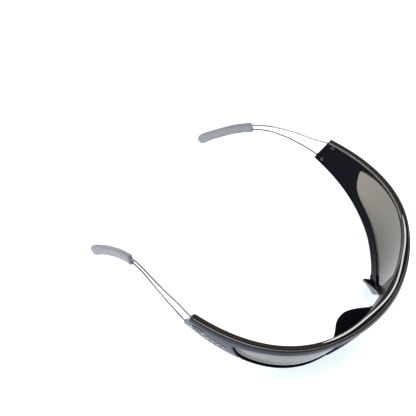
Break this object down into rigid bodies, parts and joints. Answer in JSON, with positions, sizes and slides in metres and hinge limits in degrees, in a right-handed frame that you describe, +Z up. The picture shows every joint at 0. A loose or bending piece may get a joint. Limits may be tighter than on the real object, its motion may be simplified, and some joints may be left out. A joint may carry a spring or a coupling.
{
  "type": "wraparound sport sunglasses",
  "caption": "One-piece wraparound shield sunglasses with recessed lenses, nose wings and sprung wire arms that grip behind the ears.",
  "frame": {"origin": "on the table, under the middle of the whole pair with its arms", "axes": "+X towards the wearer's left, +Y from the bridge to the back of the head, +Z up"},
  "size_m": [0.1484, 0.1594, 0.0391],
  "materials": {
    "shell": "metallic gloss lacquer",
    "liner": "satin moulded",
    "lens": "polished, grey-brown gradient tint",
    "wing": "satin moulded",
    "wire": "drawn spring wire",
    "bright_trim": "polished",
    "fastener": "blackened steel",
    "inlay": "gloss black enamel",
    "sleeve": "soft translucent silicone"
  },
  "bodies": {
    "front": {"outer_shell": "shell", "inner_liner": "liner", "brow_strip": "bright_trim", "left_lens": "lens", "left_nose_wing": "wing", "left_upper_wire_socket": "wire", "left_upper_screw": "fastener", "left_lower_wire_socket": "wire", "left_lower_screw": "fastener", "left_badge_ring": "bright_trim", "left_badge_inlay": "inlay", "left_stud_1": "bright_trim", "left_stud_2": "bright_trim", "left_stud_3": "bright_trim", "left_stud_4": "bright_trim", "right_lens": "lens", "right_nose_wing": "wing", "right_upper_wire_socket": "wire", "right_upper_screw": "fastener", "right_lower_wire_socket": "wire", "right_lower_screw": "fastener", "right_badge_ring": "bright_trim", "right_badge_inlay": "inlay", "right_stud_1": "bright_trim", "right_stud_2": "bright_trim", "right_stud_3": "bright_trim", "right_stud_4": "bright_trim"},
    "left_arm": {"left_arm_wire": "wire", "left_tip_sleeve": "sleeve"},
    "right_arm": {"right_arm_wire": "wire", "right_tip_sleeve": "sleeve"}
  },
  "joints": [
    {"name": "left_arm_flex", "type": "hinge", "parent": "front", "child": "left_arm", "pos_m": [0.07111, 0.00056, 0.03085], "axis": [-0.1265, 0.3281, -0.9361], "range_deg": [-10, 20], "stiffness_Nm_per_rad": 0.25},
    {"name": "right_arm_flex", "type": "hinge", "parent": "front", "child": "right_arm", "pos_m": [-0.07111, 0.00056, 0.03085], "axis": [-0.1265, -0.3281, 0.9361], "range_deg": [-10, 20], "stiffness_Nm_per_rad": 0.25}
  ]
}
